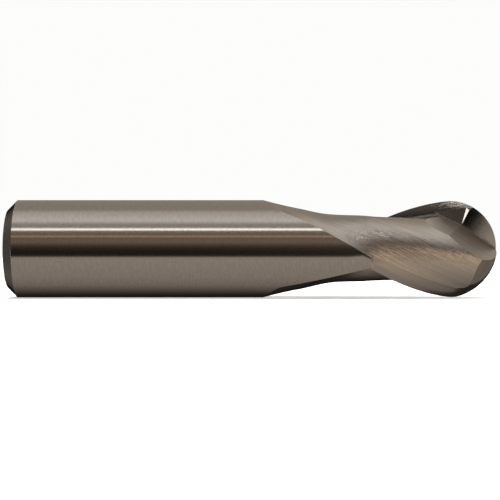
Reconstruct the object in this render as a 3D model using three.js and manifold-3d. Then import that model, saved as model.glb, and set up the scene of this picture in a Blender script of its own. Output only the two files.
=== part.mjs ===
// Two-flute ball-nose end mill, stub length, plain cylindrical shank. Millimetres.
// The tool axis lies along +X: the rear face of the shank is the plane X = 0 and the ball tip
// is at X = OVERALL_LENGTH. Right-hand helix, right-hand cut. Ground in one piece from one rod.
import * as THREE from "three";
import Module from "manifold-3d";

// ---- driving dimensions -------------------------------------------------------------------
const DIAMETER = 12.7; // cutting diameter and shank diameter
const OVERALL_LENGTH = 63.5;
const SHANK_CHAMFER = 1.2; // 45 degree chamfer round the rear face
const HELIX_ANGLE = 30; // degrees, right hand
const CUT_START = 46.3; // X where both cutting edges begin
const FLUTE_START = 33.1; // X where the wheel run-out of the flutes begins
const FULL_DEPTH_AT = 48.6; // X where the flutes reach their full depth
const FLUTE_DEPTH = 0.355; // flute depth as a share of the radius
const PRIMARY_LAND = 9.5; // degrees of land behind each cutting edge
const RELIEF_START = 46.45; // X where the secondary relief of the lands steps down
const RELIEF_RAMP = 0.3; // length of that step
const FIRST_RELIEF = 0.6; // share of the full relief where it starts

const RADIUS = DIAMETER / 2;
const BALL_CENTRE = OVERALL_LENGTH - RADIUS;
const EDGE_AT_BALL = 79.3; // degrees, direction of one cutting edge in the plane of the ball centre
const DEGREES_PER_MM = THREE.MathUtils.radToDeg(Math.tan(THREE.MathUtils.degToRad(HELIX_ANGLE)) / RADIUS);
const TEETH = 2;
const TOOTH_PITCH = 360 / TEETH;

// Flute section, from the cutting edge over the core to the heel of the tooth ahead:
// share of the radius, and degrees ahead of the cutting edge.
const FLUTE_SECTION = [
  [1.0, 0],
  [0.9, -0.8],
  [0.8, -0.8],
  [0.72, 2],
  [0.67, 9],
  [0.645, 22],
  [0.642, 40],
  [0.652, 57],
  [0.678, 75],
  [0.725, 89],
  [0.79, 101],
  [0.84, 113],
  [0.875, 127],
  [0.9, 142],
  [0.935, 155],
  [1.0, 166],
];
const RAKE_RUN_OUT = 7.7; // degrees per mm by which the flute wall on the rake side retreats
const HEEL_DIRECTION = 166; // degrees ahead of the edge, where the flute meets the heel
const OUTSIDE = 1.12; // share of the radius that every flute solid reaches beyond the blank

// Relief behind each edge: degrees behind the edge, share of the radius taken off.
const LAND_RELIEF = [
  [0, 0],
  [PRIMARY_LAND, 0.018],
  [20, 0.055],
  [26, 0.066],
  [37, 0],
  [TOOTH_PITCH, 0],
];
const BALL_RELIEF = [
  [0, 0],
  [PRIMARY_LAND, 0.015],
  [24, 0.045],
  [60, 0.055],
  [160, 0.055],
  [176, 0],
  [180, 0],
];

// End gash in front of each ball edge, as planes: a point on each plane and its outward direction,
// in radii from the ball centre. Two floors and two walls meet at the corner, and a narrow step
// joins the wall that carries the ball edge to the deeper wall behind it.
const GASH_CORNER = [0.31, 0.06, 0.49];
const TIP_FLOOR = { point: GASH_CORNER, out: [0.469, -0.492, 0.733] };
const FLUTE_FLOOR = { point: GASH_CORNER, out: [0.288, -0.431, 0.856] };
const TIP_WALL = { point: GASH_CORNER, out: [-0.256, -0.94, -0.222] };
const FLUTE_WALL = { point: GASH_CORNER, out: [-0.403, -0.909, -0.107] };
const WALL_STEP = { point: GASH_CORNER, out: [-0.51, -0.857, -0.069] };
const GASH_EDGE_START = BALL_CENTRE + 0.49 * RADIUS; // where the ball edge passes onto the tip wall
const GASH_EDGE_TURN = 3.1; // degrees per mm by which it turns less than the helix from there
const GASH_REACH = 2.2; // size of the gash cutters, in radii
const FINEST = 0.004; // smallest detail kept on any surface, in mm

const clamp01 = (t) => THREE.MathUtils.clamp(t, 0, 1);
const edgeDirection = (x) => EDGE_AT_BALL + (x - BALL_CENTRE) * DEGREES_PER_MM;

// ---- solids -------------------------------------------------------------------------------
const wasm = await Module();
wasm.setup();

// A point at a radius and a direction: 0 degrees is toward -Y, 90 degrees toward -Z.
function polar(x, radius, degrees) {
  const angle = THREE.MathUtils.degToRad(degrees);
  return [x, -radius * Math.cos(angle), -radius * Math.sin(angle)];
}

// Closed solid through a row of rings along +X, every ring with the same number of points in
// rising direction, closed by a flat fan at the rear and by a fan to a point on the axis in front.
function loft(rings, frontX) {
  const count = rings[0].length;
  const vertices = rings.flat();
  const first = vertices.length;
  vertices.push([rings[0][0][0], 0, 0], [frontX, 0, 0]);
  const triangles = [];
  for (let ring = 0; ring + 1 < rings.length; ring += 1) {
    for (let i = 0; i < count; i += 1) {
      const a = ring * count + i;
      const b = ring * count + ((i + 1) % count);
      triangles.push([a, b, a + count], [b, b + count, a + count]);
    }
  }
  const last = (rings.length - 1) * count;
  for (let i = 0; i < count; i += 1) {
    const next = (i + 1) % count;
    triangles.push([first, next, i], [first + 1, last + i, last + next]);
  }
  return solid(vertices, triangles);
}

function solid(vertices, triangles) {
  const mesh = new wasm.Mesh({
    numProp: 3,
    tolerance: FINEST,
    vertProperties: new Float32Array(vertices.flat()),
    triVerts: new Uint32Array(triangles.flat()),
  });
  return new wasm.Manifold(mesh);
}

function lookUp(table, at) {
  const next = table.findIndex(([position]) => position >= at);
  if (next <= 0) return table[0][1];
  const [from, low] = table[next - 1];
  const [to, high] = table[next];
  return THREE.MathUtils.mapLinear(at, from, to, low, high);
}

// ---- blank: shank, chamfer, relieved lands and relieved ball --------------------------------
const BEHIND_EDGE = [0, 3, 6.3, PRIMARY_LAND, 13, 16.5, 20, 23, 26, 31, 37, 45];
const COARSE_STEP = 9;

function blankDirections() {
  const directions = [...BEHIND_EDGE];
  for (let v = 54; v < 172; v += COARSE_STEP) directions.push(v);
  directions.push(172, 176);
  const all = [];
  for (let tooth = 0; tooth < TEETH; tooth += 1) {
    for (const v of directions) all.push({ tooth, v });
  }
  return all.reverse();
}

function blankRing(x, directions) {
  const onBall = clamp01((x - BALL_CENTRE) / (0.5 * RADIUS));
  const relieved = clamp01((x - RELIEF_START) / (BALL_CENTRE - RELIEF_START));
  const step = clamp01((x - RELIEF_START) / RELIEF_RAMP) * THREE.MathUtils.lerp(FIRST_RELIEF, 1, relieved);
  const chamfer = Math.min(RADIUS, RADIUS - SHANK_CHAMFER + x);
  const ball = Math.sqrt(Math.max(0, RADIUS ** 2 - Math.max(0, x - BALL_CENTRE) ** 2));
  const outer = Math.min(chamfer, ball);
  const behindGash = Math.max(0, x - GASH_EDGE_START);
  const edge = edgeDirection(Math.max(x, RELIEF_START - 1)) - behindGash * GASH_EDGE_TURN;
  return directions.map(({ tooth, v }) => {
    const relief = THREE.MathUtils.lerp(lookUp(LAND_RELIEF, v) * step, lookUp(BALL_RELIEF, v), onBall);
    return polar(x, outer * (1 - relief), edge - v + tooth * TOOTH_PITCH);
  });
}

function blankStations() {
  const stations = [0, SHANK_CHAMFER, 12, 24, 36, RELIEF_START - 1, RELIEF_START];
  const lands = 12;
  for (let i = 0; i <= lands; i += 1) {
    stations.push(THREE.MathUtils.lerp(RELIEF_START + RELIEF_RAMP, BALL_CENTRE, i / lands));
  }
  const ballSteps = 13;
  for (let i = 1; i < ballSteps; i += 1) {
    stations.push(BALL_CENTRE + RADIUS * Math.sin((i / ballSteps) * (Math.PI / 2)));
  }
  return stations;
}

function makeBlank() {
  const directions = blankDirections();
  return loft(blankStations().map((x) => blankRing(x, directions)), OVERALL_LENGTH);
}

// ---- fluted rod: the blank is cut down to this ----------------------------------------------
const SECTION_POINTS = 44;
const OUTSIDE_POINTS = 5; // points round the outside between two flutes
const RUN_OUT_BLEND = 8.5; // mm over which the full section gives way to the run-out section
const fluteCurve = new THREE.CatmullRomCurve3(
  FLUTE_SECTION.map(([share, degrees]) => new THREE.Vector3(...polar(0, share, degrees))),
  false,
  "centripetal",
);

function fluteDepth(x) {
  const t = (x - FLUTE_START) / (FULL_DEPTH_AT - FLUTE_START);
  if (t >= 1) return FLUTE_DEPTH;
  return FLUTE_DEPTH * (1 - (1 - t) ** 1.85);
}

// Full flute section at a share u of its length.
function fullSection(u) {
  const { y, z } = fluteCurve.getPointAt(u);
  const degrees = THREE.MathUtils.radToDeg(Math.atan2(-z, -y));
  return { share: Math.hypot(y, z), direction: degrees < -90 ? degrees + 360 : degrees };
}

// One point of one flute: the full section, giving way to a shallow convex one in the run-out,
// where the wall on the rake side retreats toward the heel.
function flutePoint(x, u) {
  const before = Math.max(0, CUT_START - x);
  const rakeSide = before * RAKE_RUN_OUT;
  const full = fullSection(u);
  const arch = Math.sin(Math.PI * u);
  const mouth = 0.035 * (1 - THREE.MathUtils.smoothstep(x, FLUTE_START, FLUTE_START + 2.5));
  const shallow = 1 + mouth * (1 - arch) - fluteDepth(x) * arch ** 0.8;
  const blend = THREE.MathUtils.smoothstep(before, 0, RUN_OUT_BLEND);
  const squeezed = rakeSide + full.direction * (1 - rakeSide / HEEL_DIRECTION);
  return {
    share: THREE.MathUtils.lerp(full.share, shallow, blend),
    direction: THREE.MathUtils.lerp(squeezed, THREE.MathUtils.lerp(rakeSide, HEEL_DIRECTION, u), blend),
  };
}

function rodRing(x) {
  const edge = edgeDirection(x);
  const lean = THREE.MathUtils.smoothstep(CUT_START - x, 0, RUN_OUT_BLEND);
  const rakeLean = THREE.MathUtils.lerp(-0.8, 8, lean);
  const ring = [];
  for (let tooth = 0; tooth < TEETH; tooth += 1) {
    const section = [];
    for (let i = 0; i <= SECTION_POINTS; i += 1) section.push(flutePoint(x, i / SECTION_POINTS));
    const leave = section[0].direction - rakeLean;
    const arrive = HEEL_DIRECTION + 6 - TOOTH_PITCH;
    for (let i = OUTSIDE_POINTS; i >= 0; i -= 1) {
      const direction = THREE.MathUtils.lerp(arrive, leave, i / OUTSIDE_POINTS);
      section.unshift({ share: OUTSIDE, direction });
    }
    for (const { share, direction } of section) {
      ring.push(polar(x, RADIUS * share, edge + tooth * TOOTH_PITCH + direction));
    }
  }
  return ring;
}

// Plain ring round the shank, clear of the blank, in the same directions as the first fluted ring.
function clearRing(x) {
  return rodRing(FLUTE_START).map(([, y, z]) => {
    const scale = (OUTSIDE * RADIUS) / Math.hypot(y, z);
    return [x, y * scale, z * scale];
  });
}

function makeRod() {
  const rings = [clearRing(-1), clearRing(FLUTE_START - 0.5)];
  const steps = 42;
  const front = OVERALL_LENGTH + 0.5;
  for (let i = 0; i <= steps; i += 1) {
    rings.push(rodRing(THREE.MathUtils.lerp(FLUTE_START, front, i / steps)));
  }
  return loft(rings, front);
}

// ---- end gashes ---------------------------------------------------------------------------
// Half space on the outward side of a plane, as a large block standing on it.
function block({ point, out }) {
  const normal = new THREE.Vector3(...out).normalize();
  const centre = new THREE.Vector3(...point).addScaledVector(normal, GASH_REACH).multiplyScalar(RADIUS);
  centre.x += BALL_CENTRE;
  const size = 2 * GASH_REACH * RADIUS;
  const box = new THREE.BoxGeometry(size, size, size);
  const turn = new THREE.Quaternion().setFromUnitVectors(new THREE.Vector3(0, 0, 1), normal);
  box.applyQuaternion(turn);
  box.translate(centre.x, centre.y, centre.z);
  return fromGeometry(box);
}

// Manifold solid from a geometry whose flat faces each carry their own vertices.
function fromGeometry(geometry) {
  const { array } = geometry.attributes.position;
  const mesh = new wasm.Mesh({
    numProp: 3,
    tolerance: FINEST,
    vertProperties: new Float32Array(array),
    triVerts: new Uint32Array(geometry.index.array),
  });
  mesh.merge();
  return new wasm.Manifold(mesh);
}

function makeGash() {
  const aboveFloors = block(TIP_FLOOR).add(block(FLUTE_FLOOR));
  const beforeFluteWall = block(FLUTE_WALL).intersect(block(WALL_STEP));
  return aboveFloors.intersect(block(TIP_WALL).add(beforeFluteWall));
}

// ---- assembly -----------------------------------------------------------------------------
function toGeometry(manifold) {
  const mesh = manifold.getMesh();
  const positions = new Float32Array(mesh.numVert * 3);
  for (let i = 0; i < mesh.numVert; i += 1) {
    for (let k = 0; k < 3; k += 1) positions[3 * i + k] = mesh.vertProperties[i * mesh.numProp + k];
  }
  const geometry = new THREE.BufferGeometry();
  geometry.setAttribute("position", new THREE.BufferAttribute(positions, 3));
  geometry.setIndex(new THREE.BufferAttribute(new Uint32Array(mesh.triVerts), 1));
  geometry.computeVertexNormals();
  return geometry;
}

function makeTool() {
  let tool = makeBlank().intersect(makeRod());
  const gash = makeGash();
  for (let tooth = 0; tooth < TEETH; tooth += 1) {
    tool = tool.subtract(gash.rotate([tooth * TOOTH_PITCH, 0, 0]));
  }
  return tool;
}

const material = new THREE.MeshStandardMaterial({ color: 0x8f8982, metalness: 1, roughness: 0.3 });
const tool = new THREE.Mesh(toGeometry(makeTool()), material);
tool.name = "end_mill";

const group = new THREE.Group();
group.name = "end_mill_tool";
group.add(tool);

export default group;
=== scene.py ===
"""Ball-nose end mill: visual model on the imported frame. Lengths in mm until the mesh is placed."""

import math

import bmesh
import bpy
import numpy as np
from mathutils import Matrix, Vector
from mathutils.bvhtree import BVHTree


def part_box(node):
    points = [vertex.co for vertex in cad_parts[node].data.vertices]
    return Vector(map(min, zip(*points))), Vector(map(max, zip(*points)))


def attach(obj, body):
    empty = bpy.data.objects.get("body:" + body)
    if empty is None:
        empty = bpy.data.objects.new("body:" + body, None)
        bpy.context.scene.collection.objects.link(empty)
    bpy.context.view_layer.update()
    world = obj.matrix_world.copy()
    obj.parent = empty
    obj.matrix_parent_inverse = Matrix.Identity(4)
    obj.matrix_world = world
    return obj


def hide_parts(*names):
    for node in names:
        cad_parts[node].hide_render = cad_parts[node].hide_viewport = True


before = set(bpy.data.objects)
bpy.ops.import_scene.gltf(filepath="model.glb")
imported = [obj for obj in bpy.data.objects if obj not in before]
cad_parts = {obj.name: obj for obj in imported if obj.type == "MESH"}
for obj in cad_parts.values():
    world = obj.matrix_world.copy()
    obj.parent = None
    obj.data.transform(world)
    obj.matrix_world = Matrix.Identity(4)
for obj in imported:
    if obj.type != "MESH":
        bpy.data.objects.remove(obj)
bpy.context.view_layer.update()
MM = 0.001

# ---- dimensions, as in the CAD model ---------------------------------------------------------
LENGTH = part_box("end_mill")[1].x / MM
DIAMETER = 12.7
RADIUS = DIAMETER / 2
BALL_CENTRE = LENGTH - RADIUS
SHANK_CHAMFER = 1.2
HELIX_ANGLE = 30
CUT_START = 46.3
FLUTE_START = 33.1
FULL_DEPTH_AT = 48.6
FLUTE_DEPTH = 0.355
PRIMARY_LAND = 9.5
RELIEF_START = 46.45
RELIEF_RAMP = 0.3
FIRST_RELIEF = 0.6
EDGE_AT_BALL = 79.3
DEGREES_PER_MM = math.degrees(math.tan(math.radians(HELIX_ANGLE)) / RADIUS)
TEETH = 2
TOOTH_PITCH = 360 / TEETH
RAKE_RUN_OUT = 7.7
HEEL_DIRECTION = 166
RUN_OUT_BLEND = 8.5
MOUTH_RISE = 0.035
MOUTH_LENGTH = 2.5
DEPTH_POWER = 1.85
ARCH_POWER = 0.8
RAKE_LEAN = -0.8
RUN_OUT_LEAN = 8
OUTSIDE = 1.12
FLUTE_SECTION = [
    (1.0, 0), (0.9, -0.8), (0.8, -0.8), (0.72, 2), (0.67, 9), (0.645, 22), (0.642, 40), (0.652, 57),
    (0.678, 75), (0.725, 89), (0.79, 101), (0.84, 113), (0.875, 127), (0.9, 142), (0.935, 155), (1.0, 166),
]
LAND_RELIEF = [(0, 0), (PRIMARY_LAND, 0.018), (20, 0.055), (26, 0.066), (37, 0), (180, 0)]
BALL_RELIEF = [(0, 0), (PRIMARY_LAND, 0.015), (24, 0.045), (60, 0.055), (160, 0.055), (176, 0), (180, 0)]

GASH_CORNER = (0.31, 0.06, 0.49)
TIP_FLOOR = (0.469, -0.492, 0.733)
FLUTE_FLOOR = (0.288, -0.431, 0.856)
TIP_WALL = (-0.256, -0.94, -0.222)
FLUTE_WALL = (-0.403, -0.909, -0.107)
WALL_STEP = (-0.51, -0.857, -0.069)
GASH_EDGE_START = BALL_CENTRE + 0.49 * RADIUS
GASH_EDGE_TURN = 3.1
GASH_REACH = 2.2
TIP_WALL_CROWN = 0.05
SHORTEST_EDGE = 6e-6

# ---- fineness of the surfaces ------------------------------------------------------------------
SHANK_RINGS = 24
LAND_RINGS = 44
BALL_RINGS = 44
ROD_RINGS = 130
SECTION_POINTS = 120
OUTSIDE_POINTS = 8
CURVE_STEPS = 60
CROWN_STEPS = 60

BLANK_FACES, FLUTE_FACES, GASH_FACES = range(3)


# ---- surfaces --------------------------------------------------------------------------------
def smoothstep(x, low, high):
    t = np.clip((x - low) / (high - low), 0, 1)
    return t * t * (3 - 2 * t)


def lerp(a, b, t):
    return a + (b - a) * t


def polar(x, radius, degrees):
    angle = np.radians(degrees)
    return np.stack([np.full_like(radius, x), -radius * np.cos(angle), -radius * np.sin(angle)], axis=1)


def edge_direction(x):
    return EDGE_AT_BALL + (x - BALL_CENTRE) * DEGREES_PER_MM


def blank_ring(x, behind):
    """Shank, chamfer, relieved lands and relieved ball: one ring of the solid before the flutes."""
    on_ball = min(max((x - BALL_CENTRE) / (0.5 * RADIUS), 0), 1)
    relieved = min(max((x - RELIEF_START) / (BALL_CENTRE - RELIEF_START), 0), 1)
    step = min(max((x - RELIEF_START) / RELIEF_RAMP, 0), 1) * lerp(FIRST_RELIEF, 1, relieved)
    ball = math.sqrt(max(0, RADIUS**2 - max(0, x - BALL_CENTRE) ** 2))
    outer = min(RADIUS, RADIUS - SHANK_CHAMFER + x, ball)
    edge = edge_direction(max(x, RELIEF_START - 1)) - max(0, x - GASH_EDGE_START) * GASH_EDGE_TURN
    land = np.interp(behind, *zip(*LAND_RELIEF)) * step
    relief = lerp(land, np.interp(behind, *zip(*BALL_RELIEF)), on_ball)
    half = polar(x, outer * (1 - relief), edge - behind)
    return np.concatenate([half, half * (1, -1, -1)])


def make_blank():
    near = np.linspace(0, 40, 41)
    far = np.concatenate([np.linspace(42, 176, 68), [178]])
    behind = np.unique(np.concatenate([near, [PRIMARY_LAND], far]))[::-1]
    plain = np.linspace(3, RELIEF_START - 1, SHANK_RINGS)
    shank = np.concatenate([[0, SHANK_CHAMFER], plain, [RELIEF_START]])
    lands = np.linspace(RELIEF_START + RELIEF_RAMP, BALL_CENTRE, LAND_RINGS)
    ball = BALL_CENTRE + RADIUS * np.sin(np.linspace(0, math.pi / 2, BALL_RINGS + 2)[1:-1])
    stations = np.concatenate([shank, lands, ball])
    return loft("blank", [blank_ring(x, behind) for x in stations], LENGTH, BLANK_FACES)


def catmull_rom(points, count):
    """Centripetal Catmull-Rom curve through the points, sampled evenly along its length."""
    points = np.array(points)
    ends = [2 * points[0] - points[1], 2 * points[-1] - points[-2]]
    padded = np.concatenate([[ends[0]], points, [ends[1]]])
    fine = []
    for p0, p1, p2, p3 in zip(padded, padded[1:], padded[2:], padded[3:]):
        gaps = [np.linalg.norm(b - a) ** 0.5 for a, b in ((p0, p1), (p1, p2), (p2, p3))]
        start = ((p1 - p0) / gaps[0] - (p2 - p0) / (gaps[0] + gaps[1]) + (p2 - p1) / gaps[1]) * gaps[1]
        finish = ((p2 - p1) / gaps[1] - (p3 - p1) / (gaps[1] + gaps[2]) + (p3 - p2) / gaps[2]) * gaps[1]
        for t in np.linspace(0, 1, CURVE_STEPS, endpoint=False):
            cubic = (2 * t**3 - 3 * t**2 + 1, t**3 - 2 * t**2 + t, 3 * t**2 - 2 * t**3, t**3 - t**2)
            fine.append(cubic[0] * p1 + cubic[1] * start + cubic[2] * p2 + cubic[3] * finish)
    fine = np.array(fine + [points[-1]])
    along = np.concatenate([[0], np.cumsum(np.linalg.norm(np.diff(fine, axis=0), axis=1))])
    wanted = np.linspace(0, along[-1], count)
    return np.stack([np.interp(wanted, along, fine[:, k]) for k in range(2)], axis=1)


share, degrees = np.array(FLUTE_SECTION).T
curve = catmull_rom(polar(0, share, degrees)[:, 1:], SECTION_POINTS + 1)
FULL_SHARE = np.hypot(*curve.T)
angle = np.degrees(np.arctan2(-curve[:, 1], -curve[:, 0]))
FULL_DIRECTION = np.where(angle < -90, angle + 360, angle)


def flute_section(x):
    """Shares and directions along one flute, with its run-out into the shank."""
    u = np.linspace(0, 1, SECTION_POINTS + 1)
    before = max(0, CUT_START - x)
    rake_side = before * RAKE_RUN_OUT
    arch = np.sin(math.pi * u)
    t = min(max((x - FLUTE_START) / (FULL_DEPTH_AT - FLUTE_START), 0), 1)
    depth = FLUTE_DEPTH * (1 - (1 - t) ** DEPTH_POWER)
    mouth = MOUTH_RISE * (1 - smoothstep(x, FLUTE_START, FLUTE_START + MOUTH_LENGTH))
    shallow = 1 + mouth * (1 - arch) - depth * np.maximum(arch, 0) ** ARCH_POWER
    blend = smoothstep(before, 0, RUN_OUT_BLEND)
    squeezed = rake_side + FULL_DIRECTION * (1 - rake_side / HEEL_DIRECTION)
    even = lerp(rake_side, HEEL_DIRECTION, u)
    return lerp(FULL_SHARE, shallow, blend), lerp(squeezed, even, blend)


def rod_ring(x):
    """Rod with both flutes, outside the blank everywhere but in the flutes."""
    shares, directions = flute_section(x)
    lean = lerp(RAKE_LEAN, RUN_OUT_LEAN, smoothstep(CUT_START - x, 0, RUN_OUT_BLEND))
    outside = np.linspace(HEEL_DIRECTION + 6 - TOOTH_PITCH, directions[0] - lean, OUTSIDE_POINTS)
    shares = np.concatenate([np.full(OUTSIDE_POINTS, OUTSIDE), shares])
    directions = np.concatenate([outside, directions])
    half = polar(x, RADIUS * shares, edge_direction(x) + directions)
    return np.concatenate([half, half * (1, -1, -1)])


def make_rod():
    first = rod_ring(FLUTE_START)
    clear = first[:, 1:] * (OUTSIDE * RADIUS / np.hypot(first[:, 1], first[:, 2]))[:, None]
    rings = [np.column_stack([np.full(len(clear), x), clear]) for x in (-1, FLUTE_START - 0.5)]
    front = LENGTH + 0.5
    rings += [rod_ring(x) for x in np.linspace(FLUTE_START, front, ROD_RINGS)]
    return loft("rod", rings, front, FLUTE_FACES)


def loft(name, rings, front, slot):
    """Closed mesh through a row of rings, with a fan at each end."""
    count = len(rings[0])
    vertices = np.concatenate([*rings, [(rings[0][0][0], 0, 0), (front, 0, 0)]])
    rear = len(vertices) - 2
    last = (len(rings) - 1) * count
    faces = []
    for i in range(count):
        j = (i + 1) % count
        faces.append((rear, j, i))
        faces.append((rear + 1, last + i, last + j))
        for start in range(0, last, count):
            faces.append((start + i, start + j, start + j + count, start + i + count))
    return new_mesh(name, vertices, faces, slot)


def new_mesh(name, vertices, faces, slot):
    mesh = bpy.data.meshes.new(name)
    mesh.from_pydata([tuple(v) for v in vertices], [], faces)
    mesh.polygons.foreach_set("material_index", [slot] * len(mesh.polygons))
    mesh.update()
    return mesh


def block(out, crown=0.0):
    """Half space on the outward side of a surface through the gash corner. The surface is a plane,
    or with a crown it rises by that much between the corner and the tip."""
    normal = Vector(out).normalized()
    corner = Vector(GASH_CORNER) * RADIUS + Vector((BALL_CENTRE, 0, 0))
    to_tip = Vector((LENGTH, 0, 0)) - corner
    along = (to_tip - normal * to_tip.dot(normal)).normalized()
    across = normal.cross(along)
    side = GASH_REACH * RADIUS
    vertices, faces = [], []
    columns = np.linspace(-side, side, CROWN_STEPS + 1)
    for s in columns:
        t = min(max(s / to_tip.length, -0.5), 1.2)
        rise = crown * 4 * t * (1 - t)
        for w, height in ((-side, rise), (side, rise), (side, 2 * side), (-side, 2 * side)):
            vertices.append(corner + along * s + across * w + normal * height)
    for i in range(CROWN_STEPS):
        for k in range(4):
            a, b = 4 * i + k, 4 * i + (k + 1) % 4
            faces.append((a, b, b + 4, a + 4))
    last = 4 * CROWN_STEPS
    faces += [(3, 2, 1, 0), (last, last + 1, last + 2, last + 3)]
    return new_mesh("block", vertices, faces, GASH_FACES)


# ---- joining and cutting -----------------------------------------------------------------------
# Stand-in materials that carry the number of the source surface through the cuts.
surface_marks = [bpy.data.materials.new(name) for name in ("blank_mark", "flute_mark", "gash_mark")]


def carrier(mesh):
    if not mesh.materials:
        for mark in surface_marks:
            mesh.materials.append(mark)
    made = bpy.data.objects.new(mesh.name, mesh)
    bpy.context.scene.collection.objects.link(made)
    return made


def combine(mesh, operation, other):
    target, tool = carrier(mesh), carrier(other)
    cut = target.modifiers.new("cut", "BOOLEAN")
    cut.operation = operation
    cut.solver = "MANIFOLD"
    cut.material_mode = "INDEX"
    cut.object = tool
    graph = bpy.context.evaluated_depsgraph_get()
    result = bpy.data.meshes.new_from_object(target.evaluated_get(graph))
    bpy.data.objects.remove(target)
    bpy.data.objects.remove(tool)
    return result


def make_gash():
    floors = combine(block(TIP_FLOOR), "UNION", block(FLUTE_FLOOR))
    step = combine(block(FLUTE_WALL), "INTERSECT", block(WALL_STEP))
    walls = combine(block(TIP_WALL, TIP_WALL_CROWN), "UNION", step)
    return combine(floors, "INTERSECT", walls)


def close_short_edges(mesh):
    """Closes edges that are too short to survive the change from mm to metres."""
    edited = bmesh.new()
    edited.from_mesh(mesh)
    bmesh.ops.remove_doubles(edited, verts=edited.verts, dist=SHORTEST_EDGE)
    edited.to_mesh(mesh)
    edited.free()


def corner_normals_on(source, crease):
    """Search tree, triangles and their corner normals, smooth up to a crease angle in degrees."""
    mesh = source.copy()
    mesh.calc_loop_triangles()
    mesh.set_sharp_from_angle(angle=math.radians(crease))
    normals = np.empty(len(mesh.loops) * 3)
    mesh.corner_normals.foreach_get("vector", normals)
    vertices = np.empty(len(mesh.vertices) * 3)
    mesh.vertices.foreach_get("co", vertices)
    vertices = vertices.reshape(-1, 3)
    corners = np.array([t.vertices for t in mesh.loop_triangles])
    loops = np.array([t.loops for t in mesh.loop_triangles])
    tree = BVHTree.FromPolygons(vertices.tolist(), corners.tolist())
    return tree, vertices[corners], normals.reshape(-1, 3)[loops]


def smooth_from(mesh, sources):
    """Gives every corner the normal of the ground surface that its face was cut from."""
    mesh.polygons.foreach_set("use_smooth", [True] * len(mesh.polygons))
    normals = []
    for face in mesh.polygons:
        if face.material_index not in sources:
            normals += [face.normal] * face.loop_total
            continue
        tree, triangles, corner_normals = sources[face.material_index]
        for vertex in face.vertices:
            inside = mesh.vertices[vertex].co.lerp(face.center, 0.03)
            spot, flat, index, _ = tree.find_nearest(inside)
            a, b, c = triangles[index]
            p = np.array(spot)
            whole = np.cross(b - a, c - a)
            area = whole @ whole
            weights = (
                np.cross(b - p, c - p) @ whole / area,
                np.cross(c - p, a - p) @ whole / area,
                np.cross(a - p, b - p) @ whole / area,
            )
            normal = Vector(np.array(weights) @ corner_normals[index]).normalized()
            normals.append(normal if normal.dot(face.normal) > 0.5 else face.normal)
    mesh.normals_split_custom_set(normals)


blank = make_blank()
rod = make_rod()
sources = {
    BLANK_FACES: corner_normals_on(blank, 7),
    FLUTE_FACES: corner_normals_on(rod, 12),
}
tool_mesh = combine(blank, "INTERSECT", rod)
for tooth in range(TEETH):
    gash = make_gash()
    gash.transform(Matrix.Rotation(math.radians(tooth * TOOTH_PITCH), 4, "X"))
    tool_mesh = combine(tool_mesh, "DIFFERENCE", gash)
close_short_edges(tool_mesh)
smooth_from(tool_mesh, sources)
tool_mesh.transform(Matrix.Scale(MM, 4))
tool_mesh.name = "ground_end_mill"
tool = bpy.data.objects.new("ground_end_mill", tool_mesh)
bpy.context.scene.collection.objects.link(tool)
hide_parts("end_mill")
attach(tool, "root")


# ---- materials -----------------------------------------------------------------------------------
class Nodes:
    """Short hand for building one material's nodes."""

    def __init__(self, name):
        self.material = bpy.data.materials.new(name)
        self.material.use_nodes = True
        self.tree = self.material.node_tree
        self.shader = self.tree.nodes["Principled BSDF"]

    def add(self, kind, inputs=None, **settings):
        node = self.tree.nodes.new("ShaderNode" + kind)
        for key, value in settings.items():
            setattr(node, key, value)
        for key, value in (inputs or {}).items():
            self.put(node.inputs[key], value)
        return node

    def put(self, socket, value):
        if isinstance(value, bpy.types.NodeSocket):
            self.tree.links.new(value, socket)
        else:
            socket.default_value = value

    def math(self, operation, *values):
        return self.add("Math", dict(enumerate(values)), operation=operation).outputs[0]

    def spread(self, value, low, high):
        return self.add("MapRange", {"Value": value, "To Min": low, "To Max": high}).outputs[0]

    def noise(self, vector, scale, detail=2.0, roughness=0.5):
        inputs = {"Vector": vector, "Scale": scale, "Detail": detail, "Roughness": roughness}
        return self.add("TexNoise", inputs).outputs["Fac"]

    def tint(self, factor, dark, light):
        ramp = self.add("ValToRGB", {"Fac": factor})
        ramp.color_ramp.elements[0].color = (*dark, 1)
        ramp.color_ramp.elements[1].color = (*light, 1)
        ramp.color_ramp.elements[0].position = 0.3
        ramp.color_ramp.elements[1].position = 0.7
        return ramp.outputs["Color"]


CARBIDE_DARK = (0.475, 0.437, 0.4)
CARBIDE_LIGHT = (0.545, 0.505, 0.465)
EDGE_ROUNDING = 0.05


def place(nodes):
    """Position in mm, as (vector, x, y, z)."""
    position = nodes.add("TexCoord").outputs["Object"]
    scaled = nodes.add("VectorMath", {0: position, "Scale": 1 / MM}, operation="SCALE").outputs["Vector"]
    parts = nodes.add("SeparateXYZ", {0: scaled}).outputs
    return scaled, parts["X"], parts["Y"], parts["Z"]


def ground(nodes, lines, base_tone, depth, roughness, anisotropy):
    """Common part of the ground finishes: fine wheel lines, a faint mottle (with painted shade where the
    shank finish adds it) and slightly rounded edges.
    """
    shader = nodes.shader
    shader.inputs["Metallic"].default_value = 1.0
    shader.inputs["Anisotropic"].default_value = anisotropy
    nodes.put(shader.inputs["Base Color"], nodes.tint(base_tone, CARBIDE_DARK, CARBIDE_LIGHT))
    nodes.put(shader.inputs["Roughness"], roughness)
    rounded = nodes.add("Bevel", {"Radius": EDGE_ROUNDING * MM}, samples=6).outputs["Normal"]
    inputs = {"Height": lines, "Distance": depth * MM, "Strength": 1.0, "Normal": rounded}
    nodes.put(shader.inputs["Normal"], nodes.add("Bump", inputs).outputs["Normal"])


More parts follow.
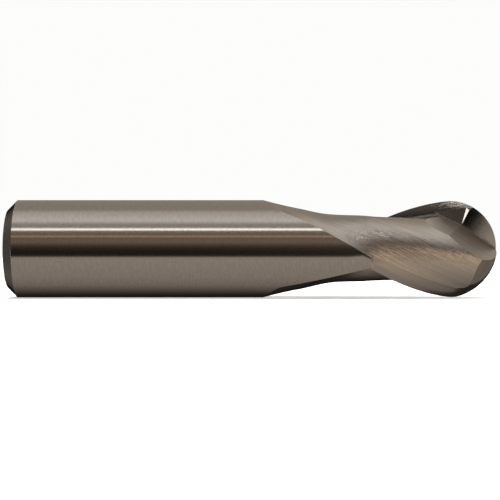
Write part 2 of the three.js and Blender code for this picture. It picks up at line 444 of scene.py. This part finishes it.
def shank_finish():
    """Cylindrical grinding: rings round the axis, broken into short scratches. Past the cut start the
    relieved lands and ball take the dark carbide tone as painted shade.
    """
    nodes = Nodes("ground_round")
    _, x, y, z = place(nodes)
    rings = nodes.add("CombineXYZ", {"X": nodes.math("MULTIPLY", x, 22.0), "Y": y, "Z": z}).outputs[0]
    lines = nodes.noise(rings, 1.3, 5.0, 0.65)
    stretched = nodes.add("CombineXYZ", {"X": nodes.math("MULTIPLY", x, 2.5), "Y": y, "Z": z}).outputs[0]
    base_tone = nodes.noise(stretched, 1.6, 4.0, 0.6)
    # Painted shade: past the cut start, the relieved lands and ball are pushed to the dark end of the
    # tone.
    base_tone = nodes.math("SUBTRACT", base_tone, nodes.math("GREATER_THAN", x, CUT_START))
    ground(nodes, lines, base_tone, 0.0011, nodes.spread(lines, 0.09, 0.2), 0.3)
    return nodes.material


def flute_finish():
    """Wheel lines that run along the helix."""
    nodes = Nodes("ground_flute")
    scaled, x, _, _ = place(nodes)
    turn = nodes.math("MULTIPLY", x, -math.radians(DEGREES_PER_MM))
    untwist = nodes.add("VectorRotate", {"Vector": scaled, "Angle": turn}, rotation_type="X_AXIS")
    parts = nodes.add("SeparateXYZ", {0: untwist.outputs[0]}).outputs
    along = nodes.math("MULTIPLY", x, 0.035)
    drawn = nodes.add("CombineXYZ", {"X": along, "Y": parts["Y"], "Z": parts["Z"]}).outputs[0]
    lines = nodes.noise(drawn, 5.5, 4.0, 0.6)
    base_tone = nodes.noise(drawn, 1.6, 3.0, 0.6)
    ground(nodes, lines, base_tone, 0.045, nodes.spread(lines, 0.07, 0.16), 0.2)
    return nodes.material


def gash_finish():
    """Short straight wheel lines across the gash, coarser on its floors than on its walls."""
    nodes = Nodes("ground_gash")
    _, x, y, z = place(nodes)
    across = nodes.math("ADD", nodes.math("MULTIPLY", x, 0.55), nodes.math("MULTIPLY", z, 0.83))
    along = nodes.math("SUBTRACT", nodes.math("MULTIPLY", x, 0.83), nodes.math("MULTIPLY", z, 0.55))
    short = nodes.math("MULTIPLY", along, 0.12)
    drawn = nodes.add("CombineXYZ", {"X": short, "Y": y, "Z": across}).outputs[0]
    lines = nodes.noise(drawn, 6.0, 4.0, 0.6)
    base_tone = nodes.noise(drawn, 0.8, 3.0, 0.6)
    facing = nodes.add("SeparateXYZ", {"Vector": nodes.add("NewGeometry").outputs["True Normal"]})
    on_floor = nodes.math("GREATER_THAN", facing.outputs["X"], 0.0)
    roughness = nodes.math("MULTIPLY_ADD", on_floor, 0.32, nodes.spread(base_tone, 0.05, 0.11))
    ground(nodes, lines, base_tone, 0.004, roughness, 0.2)
    return nodes.material


for surface, finish in enumerate((shank_finish, flute_finish, gash_finish)):
    tool_mesh.materials[surface] = finish()


# ---- floor and backdrops -----------------------------------------------------------------------
BLACK = (0, 0, 0, 1)
PALE = (0.86, 0.86, 0.855, 1)
BACKDROP_PALE = (0.97, 0.97, 0.965, 1)
FLOOR_GLOW = 0.6
STAGE_SIZE = 4.0
BACKDROP_DISTANCE = 1.2
MID_TOOL = 0.03


def pale_finish(name, base, glow, strength):
    shader = Nodes(name).shader
    shader.inputs["Base Color"].default_value = base
    shader.inputs["Roughness"].default_value = 0.9
    shader.inputs["Emission Color"].default_value = glow
    shader.inputs["Emission Strength"].default_value = strength
    return bpy.data.materials[name]


def stage_plane(name, size, location, rotation):
    half = size / 2
    corners = [(-half, -half, 0), (half, -half, 0), (half, half, 0), (-half, half, 0)]
    made = bpy.data.objects.new(name, new_mesh(name, corners, [(0, 1, 2, 3)], 0))
    made.location = location
    made.rotation_euler = rotation
    bpy.context.scene.collection.objects.link(made)
    return made


floor = stage_plane("floor", STAGE_SIZE, (MID_TOOL, 0, -RADIUS * MM), (0, 0, 0))
floor.data.materials.append(pale_finish("pale_floor", PALE, PALE, FLOOR_GLOW))
floor.visible_glossy = False

backdrop_finish = pale_finish("pale_backdrop", BLACK, BACKDROP_PALE, 1.0)
for turn in (0, 90, 180, 270):
    angle = math.radians(turn)
    spot = (BACKDROP_DISTANCE * math.sin(angle), BACKDROP_DISTANCE * math.cos(angle), 0)
    backdrop = stage_plane(f"backdrop_{turn}", STAGE_SIZE, spot, (math.radians(90), 0, -angle))
    backdrop.data.materials.append(backdrop_finish)
    backdrop.visible_glossy = False
    backdrop.visible_diffuse = False
    backdrop.visible_shadow = False


# ---- studio light ------------------------------------------------------------------------------
STUDIO_STRENGTH = 0.73

# Studio as the tool sees it: brightness by the direction round the tool axis, in degrees from the
# camera's side (0) over the top (90) to the back (180), and below the tool down to -180.
STUDIO = [
    (-180, (0.02, 0.017, 0.015)), (-150, (0.02, 0.017, 0.015)), (-132, (0.05, 0.045, 0.04)),
    (-112, (0.2, 0.175, 0.155)), (-96, (0.36, 0.32, 0.285)), (-70, (0.5, 0.445, 0.4)),
    (-40, (0.56, 0.5, 0.445)), (-21, (0.6, 0.535, 0.475)), (-17, (0.02, 0.017, 0.014)),
    (-3, (0.035, 0.028, 0.022)), (6, (0.09, 0.07, 0.055)), (16, (0.3, 0.24, 0.2)),
    (25, (0.26, 0.19, 0.15)), (27, (0.26, 0.19, 0.15)), (28, (0.8, 0.62, 0.46)), (30, (0.8, 0.62, 0.46)),
    (31, (0.3, 0.22, 0.17)), (40, (0.3, 0.25, 0.21)), (44, (0.35, 0.31, 0.28)), (45, (3.6, 3.6, 3.5)),
    (47.5, (3.6, 3.6, 3.5)), (49, (0.42, 0.38, 0.35)), (60, (0.6, 0.56, 0.53)),
    (68, (1.15, 1.13, 1.1)), (94, (0.85, 0.82, 0.78)), (104, (0.55, 0.49, 0.44)),
    (150, (0.5, 0.43, 0.37)), (168, (0.4, 0.35, 0.3)), (174, (0.03, 0.026, 0.022)),
    (180, (0.02, 0.017, 0.015)),
]
# The same for directions along the tool: -1 toward the shank end, 1 ahead of the tip. The last
# number is how far this replaces the brightness by the direction round the axis.
SIDES = [
    (-1.0, (0.12, 0.11, 0.105), 1.0), (-0.8, (0.2, 0.18, 0.17), 1.0), (-0.64, (0.13, 0.11, 0.1), 1.0),
    (-0.56, (0.1, 0.085, 0.08), 1.0),
    (-0.5, (0.01, 0.009, 0.008), 1.0), (-0.33, (0.01, 0.009, 0.008), 1.0), (-0.26, (0.1, 0.09, 0.08), 0.0),
    (0.52, (0.34, 0.3, 0.265), 0.0), (0.6, (0.34, 0.3, 0.265), 0.85), (1.0, (0.35, 0.3, 0.26), 0.85),
]
# Brightness by the direction round the axis, in the part of the studio ahead of the tip.
AHEAD = [
    (-180, (0.03, 0.026, 0.022)), (-118, (0.05, 0.044, 0.038)), (-104, (0.3, 0.265, 0.235)),
    (-72, (0.46, 0.4, 0.35)), (-40, (0.7, 0.59, 0.48)), (-5, (1.0, 0.8, 0.61)), (21, (1.25, 1.0, 0.76)),
    (25, (0.16, 0.13, 0.115)), (38, (0.2, 0.175, 0.16)), (47, (0.3, 0.27, 0.25)), (54, (0.66, 0.63, 0.61)),
    (60, (0.45, 0.42, 0.4)), (70, (0.6, 0.57, 0.54)), (78, (1.15, 1.12, 1.07)), (95, (1.0, 0.95, 0.9)),
    (125, (0.85, 0.77, 0.68)), (150, (1.15, 0.97, 0.78)), (180, (0.8, 0.68, 0.56)),
]
AHEAD_SHARE = [(-1, (0, 0, 0)), (0.2, (0, 0, 0)), (0.3, (1, 1, 1)), (1, (1, 1, 1))]


def world_ramp(tree, value, low, high, stops):
    share = tree.nodes.new("ShaderNodeMapRange")
    share.inputs["From Min"].default_value = low
    share.inputs["From Max"].default_value = high
    tree.links.new(value, share.inputs["Value"])
    ramp = tree.nodes.new("ShaderNodeValToRGB")
    tree.links.new(share.outputs[0], ramp.inputs["Fac"])
    elements = ramp.color_ramp.elements
    while len(elements) < len(stops):
        elements.new(0.5)
    for element, (at, colour) in zip(elements, stops):
        element.position = (at - low) / (high - low)
        element.color = (*colour, 1)
    return ramp.outputs["Color"]


def world_math(tree, operation, *values):
    node = tree.nodes.new("ShaderNodeMath")
    node.operation = operation
    for socket, value in zip(node.inputs, values):
        if isinstance(value, bpy.types.NodeSocket):
            tree.links.new(value, socket)
        else:
            socket.default_value = value
    return node.outputs[0]


def world_mix(tree, factor, first, second):
    mix = tree.nodes.new("ShaderNodeMix")
    mix.data_type = "RGBA"
    for socket, source in (("Factor", factor), ("A", first), ("B", second)):
        mixed = [i for i in mix.inputs if i.name == socket and i.enabled][0]
        tree.links.new(source, mixed)
    return [o for o in mix.outputs if o.enabled][0]


def make_world():
    world = bpy.data.worlds.new("studio")
    world.use_nodes = True
    tree = world.node_tree
    direction = tree.nodes.new("ShaderNodeTexCoord").outputs["Generated"]
    parts = tree.nodes.new("ShaderNodeSeparateXYZ")
    tree.links.new(direction, parts.inputs[0])
    toward_camera = world_math(tree, "MULTIPLY", parts.outputs["Y"], -1)
    around = world_math(tree, "ARCTAN2", parts.outputs["Z"], toward_camera)
    degrees_round = world_math(tree, "DEGREES", around)
    by_turn = world_ramp(tree, degrees_round, -180, 180, STUDIO)
    along = parts.outputs["X"]
    by_side = world_ramp(tree, along, -1, 1, [(at, colour) for at, colour, _ in SIDES])
    how_far = world_ramp(tree, along, -1, 1, [(at, (share,) * 3) for at, _, share in SIDES])
    ahead = world_ramp(tree, degrees_round, -180, 180, AHEAD)
    with_ahead = world_mix(tree, world_ramp(tree, along, -1, 1, AHEAD_SHARE), by_turn, ahead)
    whole = world_mix(tree, how_far, with_ahead, by_side)
    background = tree.nodes["Background"]
    tree.links.new(whole, background.inputs["Color"])
    background.inputs["Strength"].default_value = STUDIO_STRENGTH
    bpy.context.scene.world = world


def area_lamp(name, energy, size, spot, direction):
    """Square lamp at a spot; the direction runs from what it lights to the lamp."""
    lamp = bpy.data.lights.new(name, "AREA")
    lamp.energy = energy
    lamp.size = size
    made = bpy.data.objects.new(name, lamp)
    made.location = spot
    made.rotation_euler = direction.to_track_quat("Z", "Y").to_euler()
    bpy.context.scene.collection.objects.link(made)
    return made


make_world()
overhead = area_lamp("overhead", 11.0, 0.8, (MID_TOOL, 0.1, 0.8), Vector((0, 0, 1)))
overhead.visible_glossy = False

# Strip lamp low on the shank side, which the narrow step of the gash wall mirrors.
STRIP_DISTANCE = 0.4
gash_spot = Vector(((BALL_CENTRE + 0.5 * RADIUS) * MM, -0.1 * RADIUS * MM, 0.5 * RADIUS * MM))
toward_strip = Vector((-0.77, -0.62, -0.13)).normalized()
area_lamp("strip", 0.06, 0.1, gash_spot + STRIP_DISTANCE * toward_strip, toward_strip)


# ---- camera ------------------------------------------------------------------------------------
CAMERA_LENS = 88.56
CAMERA_SPOT = (0.02725, -0.1606, 0)

bpy.context.scene.view_settings.view_transform = "Standard"

camera = bpy.data.cameras.new("camera")
camera.lens = CAMERA_LENS
camera.sensor_width = 36
camera.shift_x = 0.064
camera.shift_y = -0.0024
camera.clip_start = 0.005
camera_object = bpy.data.objects.new("camera", camera)
camera_object.location = CAMERA_SPOT
camera_object.rotation_euler = (math.radians(90), 0, 0)
bpy.context.scene.collection.objects.link(camera_object)
bpy.context.scene.camera = camera_object

bpy.context.view_layer.update()
